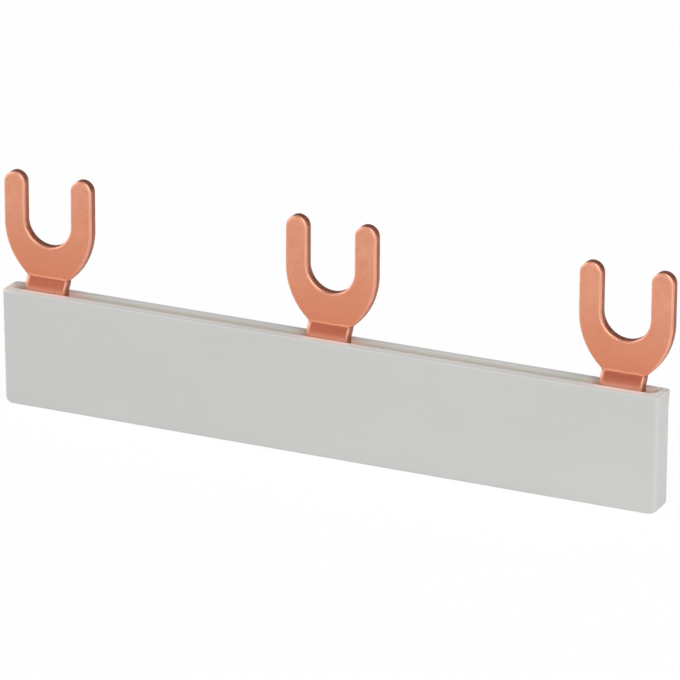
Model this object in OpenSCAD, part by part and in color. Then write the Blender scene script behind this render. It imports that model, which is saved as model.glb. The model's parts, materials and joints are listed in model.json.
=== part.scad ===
// Comb busbar for a row of modular switchgear: one punched copper comb
// lying in a moulded insulating trough, with its forks standing clear.
// Millimetres. X runs along the bar, the front faces -Y, +Z is up.
// The origin is at the middle of the trough's underside.

/* [Forks] */
// Number of forks
fork_count = 3; // [2:1:6]
// Spacing of the forks along the bar, two modules of 17.8
fork_pitch = 35.6; // [26:0.1:54]
// Width over the two tines
fork_w = 11.1; // [9.6:0.1:13]
// Width of the slot, for the shank of a terminal screw
slot_w = 5.9; // [5.2:0.1:6.6]
// Height of the slot's centre above the trough's rim
slot_rise = 8.15; // [7.2:0.05:10]
// Height of the tine tips above the slot's centre
tine_l = 5.55; // [3:0.05:9]
// Radius of the two long curves under the tines
cheek_r = 8.2; // [7.4:0.1:10]

/* [Copper strip] */
// Thickness of the copper sheet
strip_t = 1.25; // [1:0.05:1.4]
// Height of the bar that joins the forks
bar_h = 11.4; // [8:0.1:12]
// Width of the neck between the bar and a fork
neck_w = 5.1; // [4:0.1:6]
// Fillet at the root of each neck
root_r = 0.6; // [0.3:0.1:0.8]
// How far the bar runs past the outer fork axes
bar_overhang = 3.8; // [3.2:0.1:3.8]
// Corner radius at the ends of the bar
bar_corner_r = 0.6; // [0.2:0.1:0.8]

/* [Joggle in the necks] */
// How far the forks are set back from the bar
joggle_set = 0.65; // [0.6:0.05:1]
// Slope of the joggle, in degrees
joggle_angle = 35; // [28:1:42]
// Inside radius of both bends
joggle_r = 0.35; // [0.2:0.05:0.5]
// Height of the upper bend above the trough's rim
joggle_rise = 1.6; // [1.5:0.05:2.4]

/* [Trough] */
// Depth over the two long walls
trough_d = 3.6; // [3.5:0.1:5]
// Height of the trough
trough_h = 13.7; // [13.2:0.05:18]
// How far the trough runs past the outer fork axes, at the rim
trough_overhang = 5; // [4.9:0.05:8]
// Thickness of the front wall
front_wall_t = 1.2; // [0.8:0.05:1.3]
// Clearance between the bar and each long wall
groove_gap = 0.12; // [0.05:0.01:0.2]
// Thickness of the end walls, at the rim
end_wall_t = 1.05; // [0.6:0.05:1.05]
// Thickness of the floor
floor_t = 1; // [0.8:0.1:1.4]
// Radius of the outer upright corners
corner_r = 0.6; // [0.4:0.1:1.5]
// Radius of the two lower corners, seen from the front
foot_r = 0.7; // [0.4:0.1:2]
// Draft of the outer end faces, in degrees
outer_draft = 0.9; // [0:0.1:2]

/* [Hidden] */
$fn = 96;
eps = 0.01;

copper = "#d98d70";
grey_plastic = "#cacac6";

// Trough
axes_l = (fork_count - 1) * fork_pitch;
trough_l = axes_l + 2 * trough_overhang;
groove_d = strip_t + 2 * groove_gap;
groove_l = trough_l - 2 * end_wall_t;
groove_corner_r = corner_r / 2;

// Comb
tine_w = (fork_w - slot_w) / 2;
slot_z = trough_h + slot_rise;
tip_z = slot_z + tine_l;
bar_l = axes_l + 2 * bar_overhang;
bar_top = floor_t + bar_h;

// Joggle, along the middle of the sheet
bend_r = joggle_r + strip_t / 2;
joggle_top = trough_h + joggle_rise;
ramp_l = (joggle_set - 2 * bend_r * (1 - cos(joggle_angle))) / sin(joggle_angle);
joggle_bottom = joggle_top - 2 * bend_r * sin(joggle_angle) - ramp_l * cos(joggle_angle);

// Middle of the sheet, front to back: the bar is centred in the groove
bar_y = front_wall_t + (groove_d - trough_d) / 2;
fork_y = bar_y + joggle_set;

// Centre line of one fork
function fork_x(i) = (i - (fork_count - 1) / 2) * fork_pitch;

// Points along an arc, from angle a to angle b
function arc(centre, r, a, b, steps = 12) =
    [for (i = [0:steps]) centre + r * [cos(a + (b - a) * i / steps), sin(a + (b - a) * i / steps)]];

// Turns a flat shape drawn in X and Z to stand upright, and runs it along Y, centred
module along_y(length) {
    rotate([90, 0, 0]) linear_extrude(length, center = true) children();
}

// Turns a flat shape drawn in Y and Z to stand upright, and runs it along X, centred
module along_x(length) {
    rotate([90, 0, 90]) linear_extrude(length, center = true) children();
}

// Rectangle with four round corners, centred
module round_rect(length, depth, r) {
    union() {
        square([length - 2 * r, depth], center = true);
        square([length, depth - 2 * r], center = true);
        for (x = [-1, 1], y = [-1, 1])
            translate([x * (length / 2 - r), y * (depth / 2 - r)]) circle(r);
    }
}

// Front view of a drafted block: narrower at the foot, with round lower corners
module drafted_face(length, height, inset, r) {
    foot_l = length - 2 * inset;
    turn = atan(inset / height);
    // The corner arc meets the drafted side and the level foot at its tangent points
    corner = [foot_l / 2 - r * tan((90 - turn) / 2), r];
    right = concat(arc(corner, r, -90, -turn), [[length / 2, height]]);
    left = [for (i = [len(right) - 1:-1:0]) [-right[i][0], right[i][1]]];
    polygon(concat(right, left));
}

// Outer form of the trough: plan shape and drafted front view, crossed
module trough_block() {
    inset = trough_h * tan(outer_draft);
    intersection() {
        linear_extrude(trough_h) round_rect(trough_l, trough_d, corner_r);
        along_y(trough_d) drafted_face(trough_l, trough_h, inset, foot_r);
    }
}

// Groove for the bar, open at the top
module groove() {
    translate([0, bar_y, floor_t])
        linear_extrude(trough_h) round_rect(groove_l, groove_d, groove_corner_r);
}

// Outline of one fork, with its neck, about its own centre line
module fork_outline() {
    cheek_x = fork_w / 2 - cheek_r;
    cheek_z = slot_z - slot_w / 18;
    tip_r = tine_w / 2;
    difference() {
        union() {
            // Tines, up to the centre of their round tips
            translate([-fork_w / 2, cheek_z]) square([fork_w, tip_z - tip_r - cheek_z]);
            for (side = [-1, 1])
                translate([side * (fork_w - tine_w) / 2, tip_z - tip_r]) circle(tip_r);
            // The cheeks: what two large circles share, below their centres
            intersection() {
                translate([-fork_w / 2, bar_top]) square([fork_w, cheek_z - bar_top + eps]);
                translate([cheek_x, cheek_z]) circle(cheek_r, $fn = 180);
                translate([-cheek_x, cheek_z]) circle(cheek_r, $fn = 180);
            }
            translate([-neck_w / 2, bar_top - root_r])
                square([neck_w, joggle_top - bar_top + 2 * root_r]);
            neck_roots();
        }
        // Slot, open at the top
        translate([0, slot_z]) circle(slot_w / 2);
        translate([-slot_w / 2, slot_z]) square([slot_w, tine_l + 1]);
    }
}

// Fillets where a neck rises from the bar
module neck_roots() {
    difference() {
        translate([-neck_w / 2 - root_r, bar_top - eps]) square([neck_w + 2 * root_r, root_r + eps]);
        for (side = [-1, 1])
            translate([side * (neck_w / 2 + root_r), bar_top + root_r]) circle(root_r);
    }
}

// The whole comb as it leaves the punch, flat
module comb_blank() {
    translate([0, floor_t + bar_h / 2]) round_rect(bar_l, bar_h, bar_corner_r);
    for (i = [0:fork_count - 1]) translate([fork_x(i), 0]) fork_outline();
}

// Side view of the sheet: the bar, the joggle and the fork above it
module joggled_strip() {
    low = floor_t - 1;
    high = tip_z + 1;
    lower_bend = [bar_y + bend_r, joggle_bottom];
    upper_bend = [fork_y - bend_r, joggle_top];
    outside = bend_r + strip_t / 2;
    front = concat(
        [[bar_y - strip_t / 2, low]],
        arc(lower_bend, outside, 180, 180 - joggle_angle),
        arc(upper_bend, joggle_r, -joggle_angle, 0),
        [[fork_y - strip_t / 2, high]]
    );
    back = concat(
        [[fork_y + strip_t / 2, high]],
        arc(upper_bend, outside, 0, -joggle_angle),
        arc(lower_bend, joggle_r, 180 - joggle_angle, 180),
        [[bar_y + strip_t / 2, low]]
    );
    polygon(concat(front, back));
}

// Copper comb: bar, necks and forks punched from one sheet, then joggled
module comb_bar() {
    color(copper) intersection() {
        along_y(2 * trough_d) comb_blank();
        along_x(bar_l + fork_w) joggled_strip();
    }
}

// Insulating trough with closed ends
module insulating_case() {
    color(grey_plastic) difference() {
        trough_block();
        groove();
    }
}

comb_bar();
insulating_case();
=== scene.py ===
import json
import math

import bmesh
import bpy
from mathutils import Matrix, Vector, noise
from mathutils.geometry import tessellate_polygon


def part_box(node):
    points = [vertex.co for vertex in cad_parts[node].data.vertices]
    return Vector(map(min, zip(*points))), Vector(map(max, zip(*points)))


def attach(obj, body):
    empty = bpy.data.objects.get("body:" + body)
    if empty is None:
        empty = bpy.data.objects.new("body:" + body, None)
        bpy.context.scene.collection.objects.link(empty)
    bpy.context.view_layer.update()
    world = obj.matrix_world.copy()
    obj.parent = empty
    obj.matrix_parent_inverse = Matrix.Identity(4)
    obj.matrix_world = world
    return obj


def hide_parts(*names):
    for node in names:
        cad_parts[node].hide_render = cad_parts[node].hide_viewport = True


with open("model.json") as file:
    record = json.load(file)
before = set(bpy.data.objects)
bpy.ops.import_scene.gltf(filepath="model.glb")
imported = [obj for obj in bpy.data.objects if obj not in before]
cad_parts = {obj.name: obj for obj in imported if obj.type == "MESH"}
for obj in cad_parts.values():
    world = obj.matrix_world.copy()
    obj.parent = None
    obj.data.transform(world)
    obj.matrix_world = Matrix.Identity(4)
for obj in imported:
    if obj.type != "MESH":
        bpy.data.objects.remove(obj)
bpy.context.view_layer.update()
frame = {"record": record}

MM = 0.001

# ---------------------------------------------------------------- sizes, from the frame
CASE_LO, CASE_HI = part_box("insulating_case")
COMB_LO, COMB_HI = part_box("comb_bar")
FORKS = [mount for mount in frame["record"]["mounts"] if mount["kind"] == "clamp"]
FORK_XS = sorted(mount["pos_m"][0] for mount in FORKS)
FORK_Y = FORKS[0]["pos_m"][1]
SLOT_Z = FORKS[0]["pos_m"][2]
SLOT_R = FORKS[0]["dims"]["r_mm"] * MM
STRIP_T = FORKS[0]["dims"]["length_mm"] * MM
TIP_Z = COMB_HI.z
FORK_W = 2 * (COMB_HI.x - max(FORK_XS))
FLOOR_Z = COMB_LO.z
RIM_Z = CASE_HI.z

# ---------------------------------------------------------------- sizes that the CAD holds
CHEEK_R = 8.2 * MM
CHEEK_Z = SLOT_Z - SLOT_R / 9
NECK_W = 5.1 * MM
ROOT_R = 0.6 * MM
BAR_TOP = FLOOR_Z + 11.4 * MM
BAR_END = max(FORK_XS) + 3.8 * MM
BAR_CORNER_R = 0.6 * MM
JOGGLE_ANGLE = math.radians(35)
JOGGLE_R = 0.35 * MM
JOGGLE_TOP = RIM_Z + 1.6 * MM

CORNER_R = 0.6 * MM
FOOT_R = 0.7 * MM
END_WALL_T = 1.05 * MM
FRONT_WALL_T = 1.2 * MM
GROOVE_GAP = 0.12 * MM
GROOVE_D = STRIP_T + 2 * GROOVE_GAP
OUTER_DRAFT = math.tan(math.radians(0.9))
BAR_Y = CASE_LO.y + FRONT_WALL_T + GROOVE_D / 2

# ---------------------------------------------------------------- finish of the copper's edges
DIE_ROLL = 0.22 * MM       # rounding that the punch leaves on the front edges
TIP_ROLL = 0.7             # how much wider that rounding is over the tips
NECK_LEFT = (0.18 * MM, 2.2)    # left side of a neck: how far outside the CAD, how wide its rounding
NECK_RIGHT = (-0.15 * MM, 1.0)  # the same on the right
BURNISH = 0.37 * MM        # depth of the strip that the punch rubs, next to the rounding; it takes the rounding's pale colour, a painted highlight
BURNISH_WAVE = 0.09        # how far that strip's edge wanders, as a share of the sheet
BURNISH_GRAIN = 0.9 * MM   # distance over which it wanders
TEAR = 0.7                 # depth of one more ring through the sheared part, as a share of the sheet
BREAK_EDGE = 0.07 * MM     # small break on the back edges
CREASE_H = 0.02 * MM       # height of the ridge across each fork's foot
CREASE_UP = 0.05 * MM      # how far it lies above the bend
CREASE_W = 0.1 * MM        # half its width
CREASE_GRAIN = 1.1 * MM    # distance over which it changes
CREASE_REACH = 0.4 * MM    # how far above the bend the copper is cut into fine rows
ROW_H = 0.05 * MM
NECK_COLUMNS = 20
ROLL_STEPS = 6
FACE_SLOT, ROLL_SLOT, EDGE_SLOT = 0, 1, 2  # materials of the comb

# ---------------------------------------------------------------- finish of the trough
RIM_OUT_R = 0.18 * MM      # rounding of the rim, outside
RIM_IN_R = 0.16 * MM       # rounding of the rim, inside
RIM_STEPS = 6              # rows over each of these roundings
RIM_ROWS = 10              # rows over the rim's flat top
LIP_LEAN = 0.1 * MM        # how far the front wall leans in on the copper at the rim
LIP_H = 1.5 * MM           # height of that lean
SOLE_R = 0.15 * MM         # rounding under the two long walls
FLARE = 0.12 * MM          # how far the right end spreads at the rim
FLARE_H = 2.2 * MM         # height of that spread
GROOVE_SHIFT = (-0.35 * MM, -0.10 * MM)  # the groove's ends, left and right, against the CAD
OUTSIDE_SLOT, INSIDE_SLOT = 0, 1         # materials of the trough

# Marks left by the moulding on the right end of the rim, in mm: (x from the end, y, radius, height)
RIM_MARKS = (
    (-0.55, -1.05, 0.12, -0.26), (-0.53, -0.85, 0.12, -0.30), (-0.51, -0.65, 0.12, -0.32),
    (-0.50, -0.45, 0.12, -0.30), (-0.48, -0.25, 0.12, -0.26), (-0.47, -0.05, 0.12, -0.22),
    (-0.46, 0.15, 0.12, -0.18), (-0.85, 0.85, 0.12, 0.08), (-0.95, -0.75, 0.12, 0.08),
    (-1.34, 1.30, 0.16, -0.60), (-1.18, 1.36, 0.14, -0.45), (-0.64, 1.30, 0.16, -0.50),
    (-0.46, 1.36, 0.16, -0.50), (-0.28, 1.36, 0.14, -0.30), (-0.74, 1.05, 0.10, -0.30),
)
# Two beads of flash in the right end of the groove, then the gate's mark on the end face, in mm:
# (x from the end, y, z from the rim, half sizes along x, y and z)
LUMPS = (
    (-1.44, -0.14, -0.22, 0.20, 0.16, 0.14),
    (-1.26, 0.04, -0.18, 0.14, 0.12, 0.10),
    (-0.12, -0.1, -3.75, 0.05, 0.34, 0.45),
)


# ================================================================ helpers
def arc(cx, cz, r, a, b, steps):
    """Points along an arc from angle a to angle b, in degrees."""
    turns = [math.radians(a + (b - a) * i / steps) for i in range(steps + 1)]
    return [(cx + r * math.cos(t), cz + r * math.sin(t)) for t in turns]


def new_object(name, bm):
    mesh = bpy.data.meshes.new(name)
    bm.to_mesh(mesh)
    bm.free()
    obj = bpy.data.objects.new(name, mesh)
    bpy.context.scene.collection.objects.link(obj)
    return obj


def bridge(bm, low, high, slot):
    """Quads between two closed rings of vertices."""
    for i in range(len(low)):
        j = (i + 1) % len(low)
        face = bm.faces.new((low[i], low[j], high[j], high[i]))
        face.smooth = True
        face.material_index = slot


def cap(bm, ring):
    """Fills a flat closed ring of vertices with triangles."""
    for corners in tessellate_polygon([[v.co for v in ring]]):
        bm.faces.new([ring[i] for i in corners])


# ================================================================ copper comb
def tip_arc(cx, cz, r, d, steps):
    """Half round over a tine, where the punch rounds the edge more towards the top."""
    points = []
    for i in range(steps + 1):
        turn = math.radians(180 - 180 * i / steps)
        reach = r - d * (1 + TIP_ROLL * math.sin(turn))
        points.append((cx + reach * math.cos(turn), cz + reach * math.sin(turn)))
    return points


def half_fork(d, out, roll):
    """Left half of a neck and fork, from its root to the foot of its slot, drawn in by d.

    The neck's side stands out by a further out, and its rounding is roll times as wide."""
    tine_w = FORK_W / 2 - SLOT_R
    tip_r = tine_w / 2
    tip_x = FORK_W / 2 - tip_r
    cheek_x = FORK_W / 2 - CHEEK_R
    foot_x = NECK_W / 2 + out - d * roll
    foot_turn = math.degrees(math.acos((foot_x - cheek_x) / (CHEEK_R - d)))
    half = arc(-foot_x - ROOT_R - d, BAR_TOP + ROOT_R, ROOT_R + d, -90, 0, 8)
    half += arc(-cheek_x, CHEEK_Z, CHEEK_R - d, 180 + foot_turn, 180, 36)
    half += tip_arc(-tip_x, TIP_Z - tip_r, tip_r, d, 32)
    half += arc(0, SLOT_Z, SLOT_R + d, 180, 270, 32)
    return half


def fork_path(x, d):
    """Outline of one neck and fork in X and Z, from its left root to its right, drawn in by d."""
    left = half_fork(d, *NECK_LEFT)
    right = [(-px, pz) for px, pz in reversed(half_fork(d, *NECK_RIGHT)[:-1])]
    return [(x + px, pz) for px, pz in left + right]


def comb_path(d):
    """Closed outline of the whole comb, drawn in by d."""
    r = BAR_CORNER_R
    path = arc(-BAR_END + r, FLOOR_Z + r, r - d, 270, 180, 6)
    path += arc(-BAR_END + r, BAR_TOP - r, r - d, 180, 90, 6)
    for x in FORK_XS:
        path += fork_path(x, d)
    path += arc(BAR_END - r, BAR_TOP - r, r - d, 90, 0, 6)
    path += arc(BAR_END - r, FLOOR_Z + r, r - d, 0, -90, 6)
    return path


def joggle_sizes():
    """(middle bend radius, height where the lower bend starts)"""
    mid_r = JOGGLE_R + STRIP_T / 2
    ramp = (FORK_Y - BAR_Y - 2 * mid_r * (1 - math.cos(JOGGLE_ANGLE))) / math.sin(JOGGLE_ANGLE)
    height = 2 * mid_r * math.sin(JOGGLE_ANGLE) + ramp * math.cos(JOGGLE_ANGLE)
    return mid_r, JOGGLE_TOP - height


def sheet_y(z, side):
    """How far back the sheet's front (side -1) or back (side 1) lies at height z."""
    mid_r, bottom = joggle_sizes()
    low_r = mid_r - side * STRIP_T / 2
    high_r = mid_r + side * STRIP_T / 2
    low_end = low_r * math.sin(JOGGLE_ANGLE)
    high_end = high_r * math.sin(JOGGLE_ANGLE)
    if z <= bottom:
        return BAR_Y + side * STRIP_T / 2
    if z >= JOGGLE_TOP:
        return FORK_Y + side * STRIP_T / 2
    if z <= bottom + low_end:
        return BAR_Y + mid_r - math.sqrt(low_r ** 2 - (z - bottom) ** 2)
    if z >= JOGGLE_TOP - high_end:
        return FORK_Y - mid_r + math.sqrt(high_r ** 2 - (JOGGLE_TOP - z) ** 2)
    start = BAR_Y + mid_r - low_r * math.cos(JOGGLE_ANGLE)
    return start + (z - bottom - low_end) * math.tan(JOGGLE_ANGLE)


def crease(x, z):
    """The fine, slightly uneven ridge that the bending edge leaves across each fork's foot."""
    wander = noise.noise(Vector((x / CREASE_GRAIN, 0, 0)))
    off = (z - JOGGLE_TOP - CREASE_UP * (1 + wander)) / CREASE_W
    return CREASE_H * (1 + 0.75 * wander) * math.exp(-off * off)


def edge_sections():
    """(drawn in by, depth from 0 to 1, wave of the depth, slot), from the front to the back."""
    rows = []
    for i in range(ROLL_STEPS + 1):
        turn = math.radians(90 * i / ROLL_STEPS)
        depth = DIE_ROLL * (1 - math.cos(turn)) / STRIP_T
        rows.append((DIE_ROLL * (1 - math.sin(turn)), depth, 0, ROLL_SLOT))
    rows.append((0, BURNISH / STRIP_T, BURNISH_WAVE, EDGE_SLOT))
    rows.append((0, TEAR, 0, EDGE_SLOT))
    rows.append((0, 1 - BREAK_EDGE / STRIP_T, 0, EDGE_SLOT))
    rows.append((BREAK_EDGE * 0.3, 1 - BREAK_EDGE * 0.3 / STRIP_T, 0, EDGE_SLOT))
    rows.append((BREAK_EDGE, 1, 0, FACE_SLOT))
    return rows


def comb_ring(bm, inset, depth, wave):
    """Closed ring round the comb at one depth through the sheet."""
    ring = []
    for x, z in comb_path(inset):
        sway = wave * noise.noise(Vector((x, 0, z)) / BURNISH_GRAIN)
        ring.append(bm.verts.new((x, depth + sway, z)))
    return ring


def cut_across(bm, at, normal):
    """Adds a row of edges where a plane crosses the mesh."""
    geom = bm.verts[:] + bm.edges[:] + bm.faces[:]
    bmesh.ops.bisect_plane(bm, geom=geom, dist=1e-7, plane_co=at, plane_no=normal)


def cut_necks(bm):
    """Fine rows over the height of the joggle, and columns over the width of each neck."""
    _, bottom = joggle_sizes()
    rows = int((JOGGLE_TOP + CREASE_REACH - bottom) / ROW_H)
    for i in range(-1, rows + 1):
        cut_across(bm, (0, 0, bottom + i * ROW_H), (0, 0, 1))
    for fork_x in FORK_XS:
        for i in range(1, NECK_COLUMNS):
            x = fork_x + NECK_W * (i / NECK_COLUMNS - 0.5)
            cut_across(bm, (x, 0, 0), (1, 0, 0))


def joggle(bm):
    """Puts each vertex at its depth between the sheet's bent front and back."""
    for v in bm.verts:
        x, depth, z = v.co
        front_y = sheet_y(z, -1) - crease(x, z)
        v.co.y = front_y + depth * (sheet_y(z, 1) - front_y)


def build_comb():
    """Punched comb: rings through the sheet, capped, cut into fine rows and joggled."""
    bm = bmesh.new()
    sections = edge_sections()
    rings = [comb_ring(bm, inset, depth, wave) for inset, depth, wave, _ in sections]
    for k in range(len(rings) - 1):
        bridge(bm, rings[k], rings[k + 1], sections[k][3])
    cap(bm, rings[0])
    cap(bm, rings[-1])
    cut_necks(bm)
    joggle(bm)
    for f in bm.faces:
        f.smooth = True
    bmesh.ops.recalc_face_normals(bm, faces=bm.faces[:])
    return new_object("copper_comb", bm)


# ================================================================ trough
def plan_ring(half_l, half_d, r, z, y=0, right_in=0):
    """Closed rounded rectangle at height z about depth y; its right end is drawn in by right_in.

    Its points lie closer near the right end, which carries the marks of the moulding."""
    corner_x, corner_y = half_l - r, half_d - r
    along = [-1 + 0.05 * i for i in range(1, 39)]
    along += [0.95 + 0.05 * i / 32 for i in range(32)]
    across = [-1 + 0.05 * i for i in range(1, 40)]
    ring = arc(corner_x, y - corner_y, r, -90, 0, 10)
    ring += [(half_l, y + corner_y * t) for t in across]
    ring += arc(corner_x, y + corner_y, r, 0, 90, 10)
    ring += [(corner_x * t, y + half_d) for t in reversed(along)]
    ring += arc(-corner_x, y + corner_y, r, 90, 180, 10)
    ring += [(-half_l, y - corner_y * t) for t in across]
    ring += arc(-corner_x, y - corner_y, r, 180, 270, 10)
    ring += [(corner_x * t, y - half_d) for t in along]
    return [(px - right_in * max(0, px / half_l), py, z) for px, py in ring]


def quarter(r, steps):
    """(drawn in by, height) along a quarter-round edge, from flat to upright."""
    turns = [math.radians(90 * i / steps) for i in range(steps + 1)]
    return [(r * (1 - math.sin(t)), r * (1 - math.cos(t))) for t in turns]


def lift(r, z):
    """How far a quarter-round edge of radius r is drawn in at height z above its lowest point."""
    if z >= r:
        return 0
    return r - math.sqrt(r * r - (r - z) ** 2)


def right_end(z):
    """How far the right end is drawn in below the rim: it spreads there, but has no draft."""
    t = min(1, (RIM_Z - z) / FLARE_H)
    return FLARE * t * t * (3 - 2 * t) - (RIM_Z - z) * OUTER_DRAFT


def groove_ring(grow, z):
    """Ring of the groove at height z, where the front wall leans in on the copper."""
    lean = LIP_LEAN * max(0, 1 - (RIM_Z - z) / LIP_H)
    left, right = GROOVE_SHIFT
    half_l = CASE_HI.x - END_WALL_T + (right - left) / 2 + grow
    half_d = GROOVE_D / 2 + grow - lean / 2
    ring = plan_ring(half_l, half_d, CORNER_R / 2 + grow, z, BAR_Y + lean / 2)
    return [(px + (left + right) / 2, py, pz) for px, py, pz in ring]


def marked(x, y, z):
    """A point of the rim, raised or sunk by the marks at its right end."""
    for dx, my, r, height in RIM_MARKS:
        away = math.hypot(x - CASE_HI.x - dx * MM, y - my * MM) / (r * MM)
        z += height * MM * math.exp(-away * away)
    return x, y, z


def between(first, last, steps):
    """Rings that lead from one ring to another, without these two."""
    rings = []
    for i in range(1, steps):
        rings.append([Vector(a).lerp(Vector(b), i / steps) for a, b in zip(first, last)])
    return rings


def wall_rings():
    """Rings up the outside, from the sole to the start of the rim's rounding."""
    heights = sorted({h for r in (SOLE_R, FOOT_R) for _, h in quarter(r, 8)})
    heights += [RIM_Z * k / 16 for k in range(2, 16)]
    rings = []
    for z in heights:
        half_l = CASE_HI.x - (RIM_Z - z) * OUTER_DRAFT - lift(FOOT_R, z)
        half_d = CASE_HI.y - lift(SOLE_R, z)
        rings.append(plan_ring(half_l, half_d, CORNER_R, z, right_in=right_end(z)))
    return rings


def rim_rings():
    """Rings over the rim: its outer rounding, its flat top and its inner rounding."""
    outer = []
    for inset, height in reversed(quarter(RIM_OUT_R, RIM_STEPS)):
        z = RIM_Z - height
        half_l, half_d = CASE_HI.x - inset, CASE_HI.y - inset
        outer.append(plan_ring(half_l, half_d, CORNER_R - inset, z, right_in=right_end(z)))
    inner = [groove_ring(inset, RIM_Z - height) for inset, height in quarter(RIM_IN_R, RIM_STEPS)]
    rings = outer + between(outer[-1], inner[0], RIM_ROWS) + inner
    return [[marked(*point) for point in ring] for ring in rings]


def inside_rings():
    """Rings down the groove to its floor, closer together near the rim, where the wall leans."""
    depth = RIM_Z - FLOOR_Z
    return [groove_ring(0, RIM_Z - depth * k) for k in (0.04, 0.08, 0.12, 0.16, 0.3, 0.5, 0.75, 1)]


def bead(bm, at, half):
    """A small egg-shaped lump of plastic."""
    lump = bmesh.ops.create_uvsphere(bm, u_segments=20, v_segments=12, radius=1)
    for v in lump["verts"]:
        v.co = Vector([at[k] + v.co[k] * half[k] for k in range(3)])
        for f in v.link_faces:
            f.smooth = True


def build_trough():
    """Trough: rings up the outside, over the rim and down the groove, with a sole and a floor."""
    bm = bmesh.new()
    paths = wall_rings() + rim_rings()
    outside = len(paths) - 2
    paths += inside_rings()
    rings = [[bm.verts.new(point) for point in path] for path in paths]
    for k in range(len(rings) - 1):
        bridge(bm, rings[k], rings[k + 1], OUTSIDE_SLOT if k < outside else INSIDE_SLOT)
    cap(bm, rings[0])
    cap(bm, rings[-1])
    for x, y, z, *half in LUMPS:
        bead(bm, (CASE_HI.x + x * MM, y * MM, RIM_Z + z * MM), [h * MM for h in half])
    bmesh.ops.recalc_face_normals(bm, faces=bm.faces[:])
    return new_object("grey_trough", bm)


# ================================================================ materials
class Nodes:
    """A short way to wire the nodes of a material or a world."""

    def __init__(self, tree, coordinates):
        self.tree = tree
        self.place = self.add("ShaderNodeTexCoord").outputs[coordinates]

    def add(self, kind, **settings):
        node = self.tree.nodes.new(kind)
        for key, value in settings.items():
            setattr(node, key, value)
        return node

    def link(self, a, b):
        self.tree.links.new(a, b)

    def feed(self, socket, value):
        """Links a socket's value, or sets a plain one."""
        if isinstance(value, bpy.types.NodeSocket):
            self.link(value, socket)
        else:
            socket.default_value = value

    def axis(self, name):
        split = self.add("ShaderNodeSeparateXYZ")
        self.link(self.place, split.inputs[0])
        return split.outputs[name]

    def maths(self, operation, a, b=0):
        node = self.add("ShaderNodeMath", operation=operation)
        self.feed(node.inputs[0], a)
        self.feed(node.inputs[1], b)
        return node.outputs[0]

    def both(self, *parts):
        """The product of several masks."""
        whole = parts[0]
        for part in parts[1:]:
            whole = self.maths("MULTIPLY", whole, part)
        return whole

    def scale(self, fac, low, high, start=0.3, end=0.7):
        """Takes the range from start to end to that from low to high, and keeps within it."""
        node = self.add("ShaderNodeMapRange")
        node.inputs["From Min"].default_value = start
        node.inputs["From Max"].default_value = end
        node.inputs["To Min"].default_value = low
        node.inputs["To Max"].default_value = high
        self.link(fac, node.inputs["Value"])
        return node.outputs["Result"]

    def noise(self, scale, detail=4, rough=0.55, stretch=(1, 1, 1), turn=(0, 0, 0)):
        mapping = self.add("ShaderNodeMapping")
        mapping.inputs["Scale"].default_value = stretch
        mapping.inputs["Rotation"].default_value = turn
        self.link(self.place, mapping.inputs["Vector"])
        node = self.add("ShaderNodeTexNoise")
        node.inputs["Scale"].default_value = scale
        node.inputs["Detail"].default_value = detail
        node.inputs["Roughness"].default_value = rough
        self.link(mapping.outputs["Vector"], node.inputs["Vector"])
        return node.outputs["Fac"]

    def height(self, unevenness, wander):
        """Height in the part, in metres, made a little uneven by a noise."""
        return self.maths("ADD", self.axis("Z"), self.scale(unevenness, -wander / 2, wander / 2))

    def ramp(self, fac, stops):
        node = self.add("ShaderNodeValToRGB")
        while len(node.color_ramp.elements) < len(stops):
            node.color_ramp.elements.new(0.5)
        for element, (at, colour) in zip(node.color_ramp.elements, stops):
            element.position = at
            element.color = (*colour, 1)
        self.link(fac, node.inputs["Fac"])
        return node.outputs["Color"]

    def mix(self, fac, a, b):
        """Colour a, or colour b where fac is 1; a may be a socket."""
        node = self.add("ShaderNodeMix", data_type="RGBA")
        self.feed(node.inputs[0], fac)
        self.feed(node.inputs[6], a)
        node.inputs[7].default_value = (*b, 1)
        return node.outputs[2]


class Surface(Nodes):
    """A material, wired to its own principled shader."""

    def __init__(self, name):
        self.material = bpy.data.materials.new(name)
        self.material.use_nodes = True
        super().__init__(self.material.node_tree, "Object")
        self.shader = self.tree.nodes["Principled BSDF"]

    def bump(self, heights):
        """Bumps on each other: (height, strength, distance in metres)."""
        normal = None
        for height, strength, distance in heights:
            node = self.add("ShaderNodeBump")
            node.inputs["Strength"].default_value = strength
            node.inputs["Distance"].default_value = distance
            self.link(height, node.inputs["Height"])
            if normal is not None:
                self.link(normal, node.inputs["Normal"])
            normal = node.outputs["Normal"]
        self.link(normal, self.shader.inputs["Normal"])


# ---------------------------------------------------------------- copper, colours in linear RGB
BLACK, WHITE = (0, 0, 0), (1, 1, 1)
COPPER_STOPS = [(0.30, (0.77, 0.32, 0.20)), (0.52, (0.81, 0.355, 0.228)), (0.75, (0.84, 0.38, 0.25))]
# Ramp of the painted shade on the necks, from the rim up to the upper bend
NECK_SHADE_STOPS = [(0.0, (0.2, 0.2, 0.2)), (0.7, WHITE), (0.98, WHITE), (1.0, BLACK)]
# Ramp of the painted highlight along the upper bend
CREASE_HIGHLIGHT_STOPS = [(0.04, BLACK), (0.16, WHITE), (0.36, WHITE), (0.62, BLACK)]
TARNISH = (0.72, 0.27, 0.16)
SPECK = (0.34, 0.11, 0.06)
SCRATCH = (0.90, 0.42, 0.29)
FORK_FOOT = (0.73, 0.262, 0.148)
# Painted shade on the necks, darkest just below the upper bend
NECK_PAINTED_SHADE = (0.69, 0.20, 0.118)
# Painted reflection of the rim, low on the necks
NECK_FOOT_PAINTED_REFLECTION = (0.80, 0.36, 0.245)
# Painted reflection of the rim, on the copper just above it
PAINTED_RIM_REFLECTION = (0.72, 0.45, 0.35)
# Painted highlight along the upper bend
CREASE_PAINTED_HIGHLIGHT = (0.95, 0.40, 0.245)


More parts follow.
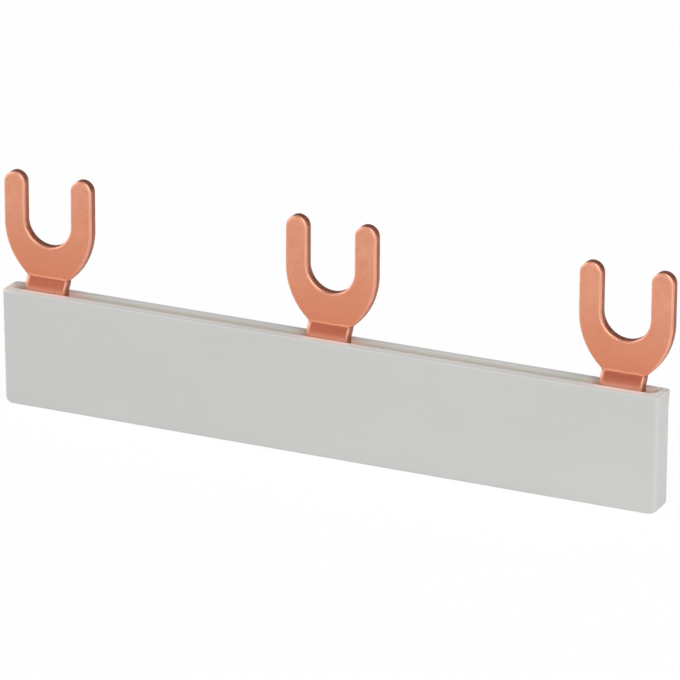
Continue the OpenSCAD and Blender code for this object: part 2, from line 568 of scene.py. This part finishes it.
def bent_zones(m, base, height):
    """Tints by height: redder down the forks, painted shade on the necks, and paler near the rim
    where a painted reflection of the rim shines in.

    A painted highlight runs along the upper bend."""
    base = m.mix(m.scale(height, 1, 0, JOGGLE_TOP, SLOT_Z + 2 * MM), base, FORK_FOOT)
    # Painted shade on each neck, darkest just below the upper bend.
    neck = m.ramp(m.scale(height, 0, 1, RIM_Z, JOGGLE_TOP), NECK_SHADE_STOPS)
    base = m.mix(neck, base, NECK_PAINTED_SHADE)
    # Painted reflection of the rim: paler, less red copper at the foot of each neck, just above the
    # rim.
    base = m.mix(m.scale(height, 0.8, 0, RIM_Z + 0.1 * MM, RIM_Z + 0.6 * MM), base, NECK_FOOT_PAINTED_REFLECTION)
    base = m.mix(m.scale(height, 0.7, 0, RIM_Z + 0.05 * MM, RIM_Z + 0.3 * MM), base, PAINTED_RIM_REFLECTION)
    # Painted highlight: a bright line along the upper bend, on its ridge.
    line_low, line_high = JOGGLE_TOP - 0.1 * MM, JOGGLE_TOP + 0.4 * MM
    line = m.ramp(m.scale(height, 0, 1, line_low, line_high), CREASE_HIGHLIGHT_STOPS)
    return m.mix(line, base, CREASE_PAINTED_HIGHLIGHT)


def copper_face():
    """Rolled copper: a satin shine, soft tarnish in patches, small dark specks, fine scratches."""
    m = Surface("copper_face")
    patches = m.noise(230, 5, 0.6)
    blotch = m.noise(1100, 3, 0.5)
    rolling = m.noise(2400, 3, 0.6, stretch=(0.12, 1, 1))
    scratch = m.noise(1500, 2, 0.4, stretch=(0.06, 1, 1.6), turn=(0, 0.5, 0))
    specks = m.noise(1900, 1, 0.5)
    base = m.ramp(patches, COPPER_STOPS)
    base = m.mix(m.scale(blotch, 0, 0.4, 0.45, 0.75), base, TARNISH)
    base = m.mix(m.scale(specks, 0, 0.45, 0.74, 0.82), base, SPECK)
    base = m.mix(m.scale(scratch, 0, 0.3, 0.70, 0.78), base, SCRATCH)
    # By height: painted shade on the necks, painted reflections of the rim, and a painted highlight
    # along the bend.
    base = bent_zones(m, base, m.height(blotch, 0.12 * MM))
    m.link(base, m.shader.inputs["Base Color"])
    m.shader.inputs["Metallic"].default_value = 1
    m.link(m.scale(rolling, 0.34, 0.44), m.shader.inputs["Roughness"])
    m.bump([(rolling, 0.2, 0.01 * MM), (scratch, 0.1, 0.02 * MM), (patches, 0.25, 0.06 * MM)])
    return m.material


def copper_roll():
    """The rounding along the punched outline, even in colour: its paler colour is painted highlight,
    and painted shade dims it on the necks.
    """
    m = Surface("copper_rounding_painted_highlight")
    patches = m.noise(500, 4, 0.6)
    # Painted highlight: paler than the copper face.
    base = m.ramp(patches, [(0.3, (0.86, 0.40, 0.265)), (0.7, (0.93, 0.47, 0.33))])
    # Painted shade dims the rounding on the necks, below the upper bend.
    neck = m.scale(m.axis("Z"), 1, 0, JOGGLE_TOP - 0.2 * MM, JOGGLE_TOP + 0.4 * MM)
    base = m.mix(neck, base, (0.72, 0.345, 0.24))
    m.link(base, m.shader.inputs["Base Color"])
    m.shader.inputs["Metallic"].default_value = 1
    m.link(m.scale(patches, 0.48, 0.56), m.shader.inputs["Roughness"])
    m.bump([(patches, 0.1, 0.02 * MM)])
    return m.material


def copper_edge():
    """Sheared edge of the copper: darker and rougher, with fine strokes across the sheet;
    its dark colour is partly the torn copper itself and partly painted shade.
    """
    m = Surface("copper_sheared_edge")
    strokes = m.noise(2200, 3, 0.6, stretch=(1, 0.1, 1))
    tear = m.noise(700, 3, 0.5, stretch=(1, 0.6, 1))
    # Dark colour: partly the sheared copper's own, partly painted shade.
    base = m.ramp(strokes, [(0.3, (0.38, 0.135, 0.08)), (0.7, (0.51, 0.19, 0.12))])
    base = m.mix(m.scale(tear, 0, 0.4, 0.45, 0.7), base, (0.27, 0.085, 0.05))
    m.link(base, m.shader.inputs["Base Color"])
    m.shader.inputs["Metallic"].default_value = 1
    m.link(m.scale(strokes, 0.4, 0.58), m.shader.inputs["Roughness"])
    m.bump([(strokes, 0.4, 0.03 * MM), (tear, 0.3, 0.05 * MM)])
    return m.material


# ---------------------------------------------------------------- plastic, colours in linear RGB
# Painted light on the front rim
FRONT_RIM_PAINTED_LIGHT = (0.645, 0.62, 0.585)
# Painted reflection of the copper on the front rim
RIM_PAINTED_COPPER_REFLECTION = (0.83, 0.69, 0.63)
# Painted shade on the back rim beside the necks, warmed by painted copper bounce
RIM_BEHIND_PAINTED_WARM_SHADE = (0.62, 0.50, 0.44)
RIM_LEFT_END = (0.69, 0.66, 0.60)
# Painted shadow in specks at the back of the rim's right end
RIM_END_PAINTED_SHADOW = (0.26, 0.23, 0.18)
# Painted copper bounce in the groove beside the necks
GROOVE_PAINTED_COPPER_BOUNCE = (0.96, 0.80, 0.68)


def near_forks(m, start, end):
    """1 beside each neck, falling to 0 between two distances from it, in mm."""
    near = 0
    for x in FORK_XS:
        away = m.maths("ABSOLUTE", m.maths("SUBTRACT", m.axis("X"), x))
        fall = m.scale(away, 1, 0, NECK_W / 2 + start * MM, NECK_W / 2 + end * MM)
        near = m.maths("MAXIMUM", near, fall)
    return near


def front_rim(m):
    """1 on the top of the front wall, and of the end walls next to the groove."""
    outer = m.scale(m.axis("Y"), 0, 1, CASE_LO.y + 0.1 * MM, CASE_LO.y + 1.1 * MM)
    inner = m.scale(m.axis("Y"), 1, 0, 0.2 * MM, 0.9 * MM)
    high = m.scale(m.axis("Z"), 0, 1, RIM_Z - 0.15 * MM, RIM_Z - 0.05 * MM)
    return m.both(inner, outer, high)


def right_end_painted_shadow(m):
    """Small dark specks of painted shadow at the back of the rim's right end."""
    end = m.scale(m.axis("X"), 0, 1, CASE_HI.x - 1.7 * MM, CASE_HI.x - 1.4 * MM)
    back = m.scale(m.axis("Y"), 0, 1, 0.7 * MM, 1.2 * MM)
    specks = m.scale(m.noise(2600, 1, 0.5), 0, 0.8, 0.52, 0.62)
    return m.both(end, back, specks)


def grey_plastic(name, dark, light):
    """Light grey moulding: nearly even, with a fine satin grain and faint flow marks."""
    m = Surface(name)
    cloud = m.noise(90, 3, 0.5, stretch=(0.5, 1, 1))
    grain = m.noise(5200, 3, 0.6)
    orange_peel = m.noise(700, 2, 0.5)
    m.shader.inputs["IOR"].default_value = 1.5
    m.link(m.scale(grain, 0.42, 0.55), m.shader.inputs["Roughness"])
    m.bump([(orange_peel, 0.12, 0.05 * MM), (grain, 0.12, 0.01 * MM)])
    return m, m.ramp(cloud, [(0.3, dark), (0.7, light)])


def outer_plastic():
    """Outside of the trough; painted light makes the front rim paler, and a painted reflection of
    the copper warms it where it meets the copper. Painted shade, warmed by painted copper bounce,
    darkens the back rim beside the necks, and small specks of painted shadow mark the right end.
    """
    m, base = grey_plastic("light_grey_plastic", (0.546, 0.546, 0.527), (0.567, 0.567, 0.548))
    rim = front_rim(m)
    high = m.scale(m.axis("Z"), 0, 1, RIM_Z - 0.2 * MM, RIM_Z - 0.1 * MM)
    behind = m.scale(m.axis("Y"), 0, 0.7, BAR_Y, BAR_Y + GROOVE_D / 2)
    left_end = m.scale(m.axis("X"), 1, 0, CASE_LO.x + 0.6 * MM, CASE_LO.x + 1.8 * MM)
    # Painted light: the front rim paler.
    base = m.mix(rim, base, FRONT_RIM_PAINTED_LIGHT)
    # Painted reflection of the copper, warm on the front rim beside each neck.
    base = m.mix(m.both(near_forks(m, -0.1, 0.6), rim), base, RIM_PAINTED_COPPER_REFLECTION)
    # Painted shade, warmed by painted copper bounce, on the back rim beside each neck.
    base = m.mix(m.both(near_forks(m, 0.3, 2.2), behind, high), base, RIM_BEHIND_PAINTED_WARM_SHADE)
    base = m.mix(m.both(left_end, high), base, RIM_LEFT_END)
    # Painted shadow: dark specks at the back of the rim's right end.
    base = m.mix(m.both(right_end_painted_shadow(m), high), base, RIM_END_PAINTED_SHADOW)
    m.link(base, m.shader.inputs["Base Color"])
    return m.material


def inner_plastic():
    """The groove: painted light makes it paler than the outside, and painted copper bounce tints it
    beside the necks.
    """
    # Painted light: the whole groove is a paler copy of the grey plastic.
    m, base = grey_plastic("grey_plastic_inside_painted_light", (0.74, 0.755, 0.69), (0.77, 0.785, 0.72))
    # Painted copper bounce beside each neck.
    base = m.mix(near_forks(m, 0.2, 3.2), base, GROOVE_PAINTED_COPPER_BOUNCE)
    m.link(base, m.shader.inputs["Base Color"])
    return m.material


# ================================================================ studio
FLOOR_HALF = 1.6
CAMERA_SHARE = 0.92  # how much of the floor that the camera sees is plain white, the rest is lit
SKY_STOPS = [  # from the horizon to overhead
    (0.0, (0.85, 0.85, 0.86)),
    (0.35, (0.62, 0.62, 0.63)),
    (0.7, (0.48, 0.48, 0.49)),
    (1.0, (0.34, 0.34, 0.35)),
]
SKY_BEHIND = (0.18, 0.18, 0.18)
LAMP_AIM = Vector((0, 0, 0.014))
LAMPS = (  # name, place, size, watts
    ("key", (0.55, -0.45, 0.40), 0.4, 2.0),
    ("fill", (-0.75, -0.15, 0.40), 0.4, 2.4),
    ("top", (0.35, -0.05, 0.75), 0.5, 2.4),
)
CAMERA_AZIMUTH = math.radians(25)
CAMERA_ELEVATION = math.radians(20.12)
CAMERA_ROLL = math.radians(0.302)
CAMERA_DISTANCE = 667.05 * MM
CAMERA_AIM = Vector((1.316, 0.05, 13.642)) * MM
LENS = 315.6565  # in mm, for a sensor 36 mm wide


def lamp(name, place, size, watts):
    data = bpy.data.lights.new(name, "AREA")
    data.shape = "DISK"
    data.size = size
    data.energy = watts
    obj = bpy.data.objects.new(name, data)
    obj.location = place
    obj.rotation_mode = "QUATERNION"
    obj.rotation_quaternion = (LAMP_AIM - Vector(place)).to_track_quat("-Z", "Y")
    bpy.context.scene.collection.objects.link(obj)


def floor_white():
    """White sweep: plain white to the camera, less a faint shadow, and lit white to all else."""
    m = Surface("studio_white")
    speck = m.noise(40, 2, 0.5)
    base = m.ramp(speck, [(0.3, (0.90, 0.90, 0.90)), (0.7, (0.92, 0.92, 0.92))])
    m.link(base, m.shader.inputs["Base Color"])
    m.shader.inputs["Roughness"].default_value = 0.9
    m.shader.inputs["Specular IOR Level"].default_value = 0.1
    glow = m.add("ShaderNodeEmission")
    path = m.add("ShaderNodeLightPath")
    blend = m.add("ShaderNodeMixShader")
    m.link(m.maths("MULTIPLY", path.outputs["Is Camera Ray"], CAMERA_SHARE), blend.inputs[0])
    m.link(m.shader.outputs[0], blend.inputs[1])
    m.link(glow.outputs[0], blend.inputs[2])
    m.link(blend.outputs[0], m.tree.nodes["Material Output"].inputs["Surface"])
    return m.material


def floor_sweep():
    bm = bmesh.new()
    corners = [(-1, -1), (1, -1), (1, 1), (-1, 1)]
    bm.faces.new([bm.verts.new((x * FLOOR_HALF, y * FLOOR_HALF, 0)) for x, y in corners])
    floor = new_object("studio_floor", bm)
    floor.data.materials.append(floor_white())


def pale_world():
    """White to the camera; to all else pale at the horizon, darker overhead and behind."""
    world = bpy.data.worlds.new("studio_world")
    world.use_nodes = True
    bpy.context.scene.world = world
    m = Nodes(world.node_tree, "Generated")
    sky = m.ramp(m.axis("Z"), SKY_STOPS)
    sky = m.mix(m.scale(m.axis("Y"), 0, 0.75, 0, 0.7), sky, SKY_BEHIND)
    path = m.add("ShaderNodeLightPath")
    back = m.tree.nodes["Background"]
    back.inputs["Strength"].default_value = 1
    m.link(m.mix(path.outputs["Is Camera Ray"], sky, WHITE), back.inputs["Color"])


def studio():
    """White sweep, pale world and three soft lamps."""
    bpy.context.scene.view_settings.view_transform = "Standard"
    floor_sweep()
    pale_world()
    for settings in LAMPS:
        lamp(*settings)


def camera():
    """Long lens from the right and a little above, rolled by a hair."""
    back = Vector((math.sin(CAMERA_AZIMUTH), -math.cos(CAMERA_AZIMUTH), 0))
    right = Vector((math.cos(CAMERA_AZIMUTH), math.sin(CAMERA_AZIMUTH), 0))
    back = back * math.cos(CAMERA_ELEVATION) + Vector((0, 0, math.sin(CAMERA_ELEVATION)))
    up = back.cross(right)
    right = right * math.cos(CAMERA_ROLL) + up * math.sin(CAMERA_ROLL)
    up = back.cross(right)
    data = bpy.data.cameras.new("camera")
    data.sensor_width = 36
    data.lens = LENS
    data.clip_start = 0.01
    data.clip_end = 10
    obj = bpy.data.objects.new("camera", data)
    turn = Matrix((right, up, back)).transposed()
    obj.matrix_world = Matrix.Translation(CAMERA_AIM + back * CAMERA_DISTANCE) @ turn.to_4x4()
    bpy.context.scene.collection.objects.link(obj)
    bpy.context.scene.camera = obj


# ================================================================ assembly
camera()

comb = build_comb()
for material in (copper_face(), copper_roll(), copper_edge()):
    comb.data.materials.append(material)
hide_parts("comb_bar")
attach(comb, "root")

trough = build_trough()
for material in (outer_plastic(), inner_plastic()):
    trough.data.materials.append(material)
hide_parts("insulating_case")
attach(trough, "root")

studio()
